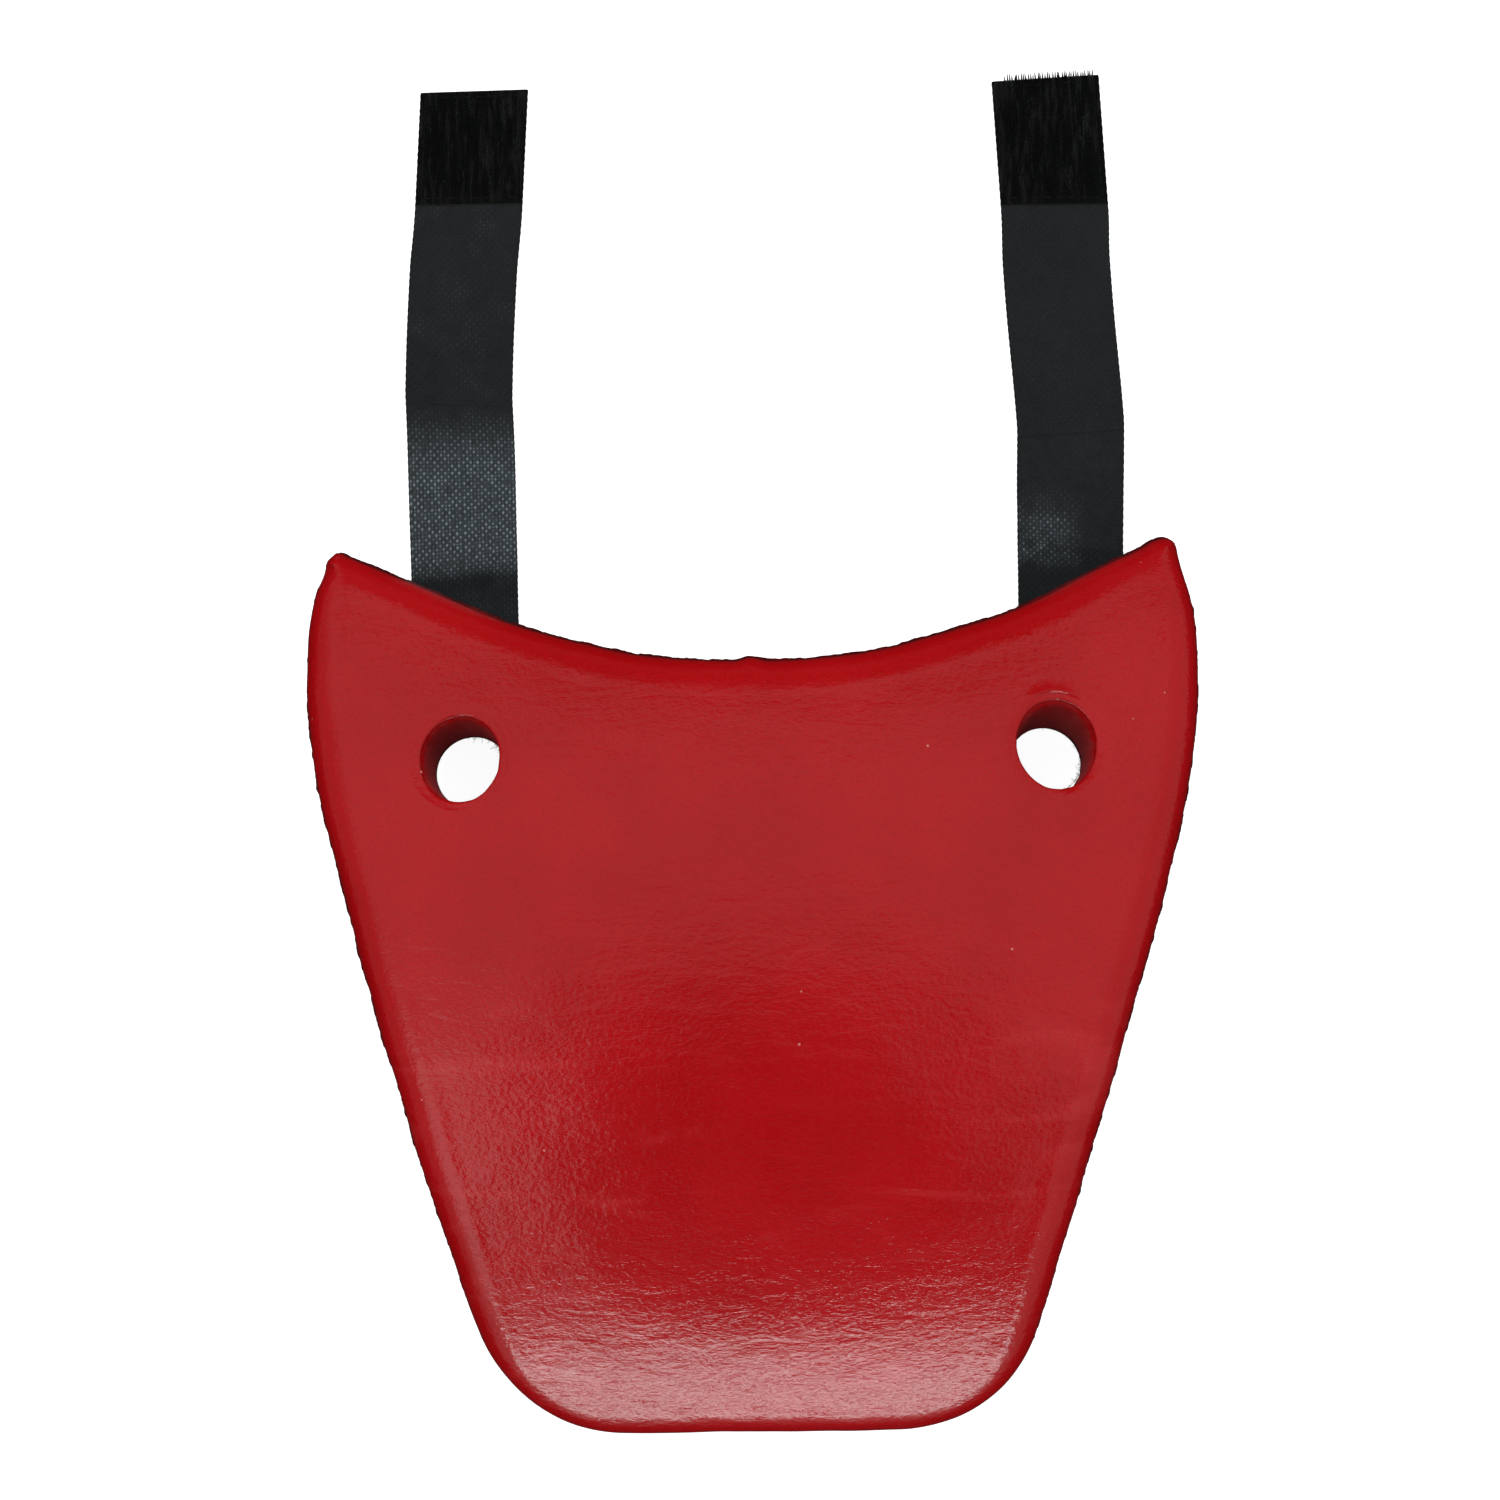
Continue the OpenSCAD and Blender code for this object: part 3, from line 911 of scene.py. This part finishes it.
class Graph:
    """The nodes of a material, with short calls for the kinds used here."""

    def __init__(self, name):
        self.material = bpy.data.materials.new(name)
        self.start(self.material, "Object")
        self.shader = self.nodes["Principled BSDF"]

    def start(self, owner, coords):
        owner.use_nodes = True
        self.nodes = owner.node_tree.nodes
        self.links = owner.node_tree.links
        self.coords = self.nodes.new("ShaderNodeTexCoord").outputs[coords]

    def put(self, value, socket):
        if isinstance(value, bpy.types.NodeSocket):
            self.links.new(value, socket)
        else:
            socket.default_value = value

    def set(self, **values):
        self.fill(self.shader, values)
        return self.material

    def fill(self, node, values):
        for key, value in values.items():
            self.put(value, node.inputs[key.replace("_", " ")])
        return node

    def node(self, kind, **values):
        return self.fill(self.nodes.new("ShaderNode" + kind), values)

    def axis(self, k):
        return self.node("SeparateXYZ", Vector=self.coords).outputs[k]

    def scaled(self, scale, turn=(0, 0, 0)):
        return self.node("Mapping", Vector=self.coords, Scale=scale, Rotation=turn).outputs["Vector"]

    def noise(self, scale, detail=2.0, rough=0.5, source=None, distortion=0.0):
        source = source or self.coords
        made = self.node("TexNoise", Vector=source, Scale=scale, Detail=detail, Roughness=rough)
        self.put(distortion, made.inputs["Distortion"])
        return made.outputs["Fac"]

    def stretched(self, scale, detail, distortion=0.0, turn=(0, 0, 0), rough=0.6):
        """Noise with its own scale along each axis."""
        return self.noise(1, detail, rough, self.scaled(scale, turn), distortion)

    def voronoi(self, scale, feature="F1"):
        made = self.node("TexVoronoi", Vector=self.coords, Scale=scale)
        made.feature = feature
        return made.outputs["Distance"]

    def math(self, kind, a, b=0.0):
        made = self.nodes.new("ShaderNodeMath")
        made.operation = kind
        self.put(a, made.inputs[0])
        self.put(b, made.inputs[1])
        return made.outputs[0]

    def times(self, a, b):
        return self.math("MULTIPLY", a, b)

    def span(self, value, low, high, to_low=0.0, to_high=1.0):
        made = self.node("MapRange", Value=value, From_Min=low, From_Max=high, To_Min=to_low, To_Max=to_high)
        made.interpolation_type = "SMOOTHSTEP"
        return made.outputs["Result"]

    def attribute(self, name):
        made = self.nodes.new("ShaderNodeAttribute")
        made.attribute_name = name
        return made.outputs["Fac"]

    def blend(self, factor, a, b):
        made = self.nodes.new("ShaderNodeMix")
        made.data_type = "RGBA"
        first_colour, second_colour, colour_out = 6, 7, 2
        self.put(factor, made.inputs["Factor"])
        self.put(a, made.inputs[first_colour])
        self.put(b, made.inputs[second_colour])
        return made.outputs[colour_out]

    def bump(self, height, distance, *normal):
        made = self.node("Bump", Height=height, Distance=distance, Strength=1.0)
        for under in normal:
            self.put(under, made.inputs["Normal"])
        return made.outputs["Normal"]


def srgb(r, g, b):
    def linear(c):
        c = c / 255
        return c / 12.92 if c <= 0.04045 else ((c + 0.055) / 1.055) ** 2.4

    return (linear(r), linear(g), linear(b), 1.0)


def skin_colour(g):
    edge, bore = g.attribute("edge"), g.attribute("bore")
    colour = g.blend(g.span(g.noise(14, 4, 0.55), 0.35, 0.68), srgb(172, 10, 15), srgb(182, 14, 20))
    fine = g.span(g.noise(900, 3, 0.6), 0.40, 0.62)
    colour = g.blend(g.times(fine, 0.16), colour, srgb(128, 9, 12))
    # painted shade: the side wall and the outline's last millimetre are painted dark maroon, as if in shade
    colour = g.blend(g.times(g.span(edge, 0.55, 1.25), 0.92), colour, srgb(80, 5, 7))
    # painted shade: the rim's rounding into each hole is painted a darker red
    colour = g.blend(g.span(bore, 0.00, 0.06), colour, srgb(132, 6, 9))
    # painted highlight: pale pink streaks, low on the front only
    painted_highlight_streaks = g.span(g.stretched((13, 55, 20), 3, 1.2, (0, 0, 0.55)), 0.52, 0.74)
    low_down = g.span(g.axis(1), -0.12, -0.05, 0.22, 0.0)
    colour = g.blend(g.times(painted_highlight_streaks, low_down), colour, srgb(208, 62, 64))
    speck = g.math("LESS_THAN", g.voronoi(95), 0.045)
    chosen = g.math("GREATER_THAN", g.noise(37, 0), 0.60)
    return g.blend(g.times(speck, chosen), colour, srgb(206, 120, 112))


def skin_material():
    g = Graph("red_vinyl")
    rub_and_glint = g.stretched((60, 22, 40), 3, 0.0, (0, 0, 0.35))
    g.set(Base_Color=skin_colour(g), Roughness=g.span(rub_and_glint, 0.3, 0.7, 0.28, 0.40))
    g.set(Specular_IOR_Level=0.06, IOR=1.5)
    peel = g.noise(560)
    grain = g.stretched((520, 1900, 1400), 2, 0.4, (0, 0, 0.22))
    crease = g.stretched((60, 190, 90), 3, 0.8, (0, 0, 0.12))
    pits = g.span(g.voronoi(70), 0.02, 0.06)
    rough = g.bump(crease, 0.00008, g.bump(grain, 0.00022, g.bump(peel, 0.00030)))
    g.set(Normal=g.bump(pits, 0.00008, rough))
    g.set(Coat_Weight=0.95, Coat_Roughness=0.05, Coat_IOR=1.5)
    return g.set(Coat_Normal=g.bump(grain, 0.00007, g.bump(crease, 0.00026, g.bump(peel, 0.00013))))


def bore_material():
    """The wall of a hole: red vinyl with painted light that makes it paler further down, and rougher than the
    front.
    """
    g = Graph("hole_wall")
    bore = g.attribute("bore")
    # painted light: the wall turns paler and pinker further down the hole
    colour = g.blend(g.span(bore, 0.12, 0.34), srgb(190, 4, 9), srgb(172, 44, 46))
    colour = g.blend(g.span(bore, 0.30, 0.95), colour, srgb(160, 68, 70))
    rub_and_glint = g.span(g.stretched((300, 300, 90), 3), 0.35, 0.7)
    colour = g.blend(g.times(rub_and_glint, 0.25), colour, srgb(176, 76, 78))
    g.set(Base_Color=colour, Roughness=g.span(rub_and_glint, 0.0, 1.0, 0.5, 0.7), Specular_IOR_Level=0.25)
    return g.set(Normal=g.bump(g.noise(500, 3, 0.6), 0.00015))


def web_material():
    g = Graph("dark_webbing")
    colour = g.blend(g.span(g.noise(30, 3, 0.6), 0.35, 0.7), srgb(9, 13, 15), srgb(17, 22, 25))
    fuzz = g.span(g.stretched((2600, 1400, 1400), 2), 0.42, 0.66)
    colour = g.blend(g.times(fuzz, 0.35), colour, srgb(38, 47, 51))
    tops = g.span(g.attribute("yarn"), 0.50, 1.0)
    # painted shade: the valleys between the yarns are painted darker
    colour = g.blend(g.span(tops, 0.0, 0.5, 0.45, 0.0), colour, srgb(6, 7, 8))
    # painted glints: pale grey-blue on the yarn tops in the glint zone
    painted_glints = g.times(g.attribute("rub_and_glint"), g.span(tops, 0.0, 0.9, 0.15, 1.0))
    broken = g.span(g.stretched((900, 260, 500), 2), 0.30, 0.60, 0.5, 1.0)
    colour = g.blend(g.times(g.times(painted_glints, broken), 0.9), colour, srgb(122, 136, 141))
    g.set(Base_Color=colour, Roughness=g.span(g.noise(220), 0.3, 0.7, 0.36, 0.52))
    g.set(Specular_IOR_Level=0.38, Sheen_Weight=0.15, Sheen_Roughness=0.45)
    return g.set(Normal=g.bump(g.stretched((3600, 900, 2000), 2), 0.00006))


def tape_material(name, low, high, rough):
    g = Graph(name)
    # painted glints: lighter streaks along the tape
    painted_glint_streak = g.span(g.stretched((560, 75, 200), 3, 0.3, rough=0.65), 0.48, 0.66)
    g.set(Base_Color=g.blend(painted_glint_streak, low, high), Specular_IOR_Level=0.16)
    g.set(Roughness=g.span(g.noise(400), 0.3, 0.7, rough, rough + 0.15))
    return g.set(Normal=g.bump(g.noise(2400), 0.00005))


def lining_material():
    g = Graph("lining_cloth")
    warp, weft = (g.math("SINE", g.times(g.axis(k), 2 * math.pi / CLOTH_PITCH)) for k in range(2))
    weave = g.times(warp, weft)
    colour = g.blend(g.span(g.noise(18, 3, 0.6), 0.35, 0.7), srgb(24, 25, 28), srgb(38, 39, 43))
    colour = g.blend(g.span(weave, -0.9, 0.2), srgb(12, 12, 14), colour)
    g.set(Base_Color=colour, Roughness=g.span(g.noise(300), 0.3, 0.7, 0.72, 0.88))
    g.set(Sheen_Weight=0.2, Sheen_Roughness=0.5)
    return g.set(Normal=g.bump(g.noise(2600), 0.00006, g.bump(weave, 0.00022)))


def foam_material(name, low, high):
    g = Graph(name)
    cells = g.voronoi(1400, feature="DISTANCE_TO_EDGE")
    tone = g.blend(g.span(g.noise(40, 3), 0.35, 0.7), low, high)
    g.set(Base_Color=g.blend(g.span(cells, 0.0, 0.12), srgb(16, 16, 17), tone))
    g.set(Roughness=g.span(g.noise(600), 0.3, 0.7, 0.8, 0.95))
    return g.set(Normal=g.bump(cells, 0.0003))


def thread_material():
    g = Graph("black_thread")
    twist = g.stretched((2400, 2400, 900), 2, turn=(0.6, 0.3, 0.7))
    g.set(Base_Color=g.blend(g.span(twist, 0.3, 0.7), srgb(5, 6, 6), srgb(20, 22, 23)))
    g.set(Roughness=g.span(g.noise(500), 0.3, 0.7, 0.5, 0.65), Specular_IOR_Level=0.2)
    return g.set(Normal=g.bump(twist, 0.00008))


def dress(obj, *materials):
    kinds = [p.material_index for p in obj.data.polygons]
    obj.data.materials.clear()
    for material in materials:
        obj.data.materials.append(material)
    obj.data.polygons.foreach_set("material_index", kinds)
    return obj


# ---- putting it together ----


def mount(piece, material, body, slot, *nodes):
    """Dresses a rigid piece and sets its body and the CAD nodes that it replaces; slot is not used."""
    dress(piece, material)
    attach(piece, body)
    if nodes:
        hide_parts(*nodes)
    return piece


def build_foam():
    middle_t = LINING_T + INNER_FOAM_T
    inset = SKIN_T + 0.2
    soft = foam_material("foam_inside", srgb(58, 58, 60), srgb(74, 74, 76))
    top_t, fillet = PAD_T - SKIN_T - 0.4, FILLET_R - SKIN_T + 1.2
    outer = layer_solid("foam_front", inset, middle_t + 0.05, top_t, fillet, 4.0, wider=2.9)
    inner = layer_solid("foam_back", inset, LINING_T + 0.05, middle_t - 0.05, 0, 4.0, wider=1.6)
    for piece, node in ((outer, "outer_foam"), (inner, "inner_foam")):
        mount(piece, soft, "pad", "foam", node)


def build_lining():
    lining = layer_solid("woven_lining", 0.1, 0.0, LINING_T - 0.1, 0, 3.0, 9, 0.35)
    mount(lining, lining_material(), "pad", "lining", "back_lining")
    fibres = mount(edge_fibres("lining_fibres", 21), thread_material(), "pad", "thread")


def build_shield():
    skin = vinyl_skin()
    dress(skin, skin_material(), bore_material())
    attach(skin, "pad")
    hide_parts("vinyl_skin")
    build_foam()
    build_lining()


def build_web(side, path, join, seed):
    """A strap's two lengths of webbing, which meet at join."""
    lower = dress(webbing(side + "_strap_sewn_end", path, -TAIL_LEN, join, seed), MATERIALS["web"])
    upper = dress(webbing(side + "_strap_free_end", path, join, path.tip, seed), MATERIALS["web"])
    zero = np.zeros(1)
    turns = (-TURN_HALF, TURN_HALF, join, path.lower + TURN_HALF)
    at = [(path.place(zero + s, zero, zero)[0] * MM).tolist() for s in turns]
    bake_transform(lower)
    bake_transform(upper)
    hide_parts(side + "_strap_tail", side + "_strap_lower")
    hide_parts(side + "_strap_upper")
    return lower, upper


def build_tape(side, path, seed):
    body = side + "_upper"
    ground = tape_ground(side + "_tape_ground", path, seed + 7)
    mount(ground, MATERIALS["ground"], body, "hook_tape", side + "_hook_patch")
    field = hooks(side + "_tape_hooks", path, seed + 9, side == "right")
    return ground, mount(field, MATERIALS["hook"], body, "hook_tape")


def build_sewing(side, path):
    """The box round the hook tape and the crossed box on the sewn tail."""
    wide = STRAP_W - 2 * SEAM_IN
    marks = seam_marks(wide, PATCH_LEN - 2 * SEAM_IN, False)
    front = STRAP_T / 2 + GROUND_T + 0.02
    patch = stitches(side + "_tape_thread", path, path.tape + SEAM_IN, marks, front, 1)
    mount(patch, MATERIALS["thread"], side + "_upper", "thread", side + "_patch_stitching")
    marks = seam_marks(wide, BOX_LEN, True)
    tail = stitches(side + "_tail_thread", path, SEAM_IN - TAIL_LEN, marks, -STRAP_T / 2 - 0.02, -1)
    mount(tail, MATERIALS["thread"], "pad", "thread", side + "_tail_stitching")
    return patch


def build_strap(side):
    path = StrapPath(side)
    seed = 100 if side == "left" else 200
    join = path.lower - TURN_HALF
    lower, upper = build_web(side, path, join, seed)
    with_upper = [*build_tape(side, path, seed), build_sewing(side, path)]


def floor_piece():
    size, low = 6000.0, -0.4
    corners = [(x * size, y * size, low) for x, y in ((-1, -1), (1, -1), (1, 1), (-1, 1))]
    floor = mesh_object("floor", corners, [range(4)])
    g = Graph("pale_floor")
    g.set(Base_Color=g.blend(g.noise(3), (0.86, 0.86, 0.86, 1), (0.88, 0.88, 0.88, 1)), Roughness=0.9)
    g.set(Specular_IOR_Level=0.0, Emission_Color=(1, 1, 1, 1), Emission_Strength=0.85)
    dress(floor, g.material)
    floor.visible_glossy = False
    floor.visible_diffuse = False


def soft_light(name, place, size, radiance):
    """An area light that faces the part, with its power set from the radiance it shows."""
    light = bpy.data.lights.new(name, "AREA")
    light.shape = "RECTANGLE"
    light.size, light.size_y = size
    light.energy = radiance * math.pi * size[0] * size[1]
    obj = linked(name, light)
    obj.location = place
    obj.rotation_euler = (Vector(LIGHTS_FACE) - Vector(place)).to_track_quat("-Z", "Y").to_euler()
    return obj


class Room(Graph):
    """The studio's walls and ceiling, as soft patches of light by direction."""

    def __init__(self, name):
        self.world = bpy.data.worlds.new(name)
        self.start(self.world, "Generated")

    def patch(self, way, from_angle, to_angle):
        """1 within to_angle of a direction, fading to 0 at from_angle, in degrees."""
        dot = self.nodes.new("ShaderNodeVectorMath")
        dot.operation = "DOT_PRODUCT"
        self.links.new(self.coords, dot.inputs[0])
        dot.inputs[1].default_value = Vector(way).normalized()
        low, high = (math.cos(math.radians(a)) for a in (from_angle, to_angle))
        return self.span(dot.outputs["Value"], low, high)

    def lit(self, value, share, *patch):
        return self.math("ADD", value, self.times(self.patch(*patch), share))

    def dimmed(self, value, share, *patch):
        return self.times(value, self.math("SUBTRACT", 1.0, self.times(self.patch(*patch), share)))


def lean(x, y):
    """A direction that leans by x and y degrees from straight up."""
    return (math.tan(math.radians(x)), math.tan(math.radians(y)), 1.0)


def light_room():
    room = Room("room")
    grey = room.lit(0.46, 0.85, lean(-29, -37), 25, 12)
    grey = room.dimmed(grey, 0.80, lean(1, -16), 17, 10)
    grey = room.dimmed(grey, 0.92, lean(1, -26), 19, 15)
    grey = room.dimmed(grey, 0.97, lean(3, -44), 19, 15.5)
    grey = room.lit(grey, 0.24, lean(14, -20), 6, 2)
    grey = room.dimmed(grey, 0.97, lean(0, 55), 19.5, 17)
    grey = room.dimmed(grey, 0.85, (0, 1, 0), 44, 30)
    grey = room.dimmed(grey, 0.65, (-1, 0, 0), 58, 36)
    grey = room.dimmed(grey, 0.35, (1, 0, 0), 72, 45)
    grey = room.dimmed(grey, 0.98, (0, 0, -1), 92, 84)
    backdrop = room.nodes["Background"]
    backdrop.inputs["Color"].default_value = (1, 1, 1, 1)
    room.links.new(grey, backdrop.inputs["Strength"])
    bpy.context.scene.world = room.world
    soft_light("low_front", (0.05, -1.9, 0.66), (1.5, 0.40), 7.0)
    fills = [soft_light("ceiling", (0.0, 1.85, 1.8), (2.4, 2.0), 3.3)]
    for name, x in (("left_wall", -2.0), ("right_wall", 2.0)):
        fills.append(soft_light(name, (x, 0.0, 0.55), (1.2, 0.9), 2.0))
    for fill in fills:
        fill.visible_glossy = False


def photo_camera():
    cam = bpy.data.cameras.new("camera")
    distance, seen = 1.6, 0.5377
    cam.sensor_width = 36.0
    cam.lens = cam.sensor_width * distance / seen
    cam.clip_end = 20
    obj = bpy.context.scene.camera = linked("camera", cam)
    obj.location = (-0.0013, 0.0015, distance)
    obj.rotation_euler = (0, 0, math.radians(-0.75))


MATERIALS = {
    "web": web_material(),
    "thread": thread_material(),
    "ground": tape_material("tape_weave", srgb(2, 3, 3), srgb(20, 22, 19), 0.6),
    "hook": tape_material("tape_nylon", srgb(2, 3, 4), srgb(40, 47, 44), 0.38),
}

bpy.context.scene.view_settings.view_transform = "Standard"
photo_camera()
build_shield()
build_strap("left")
build_strap("right")
floor_piece()
light_room()
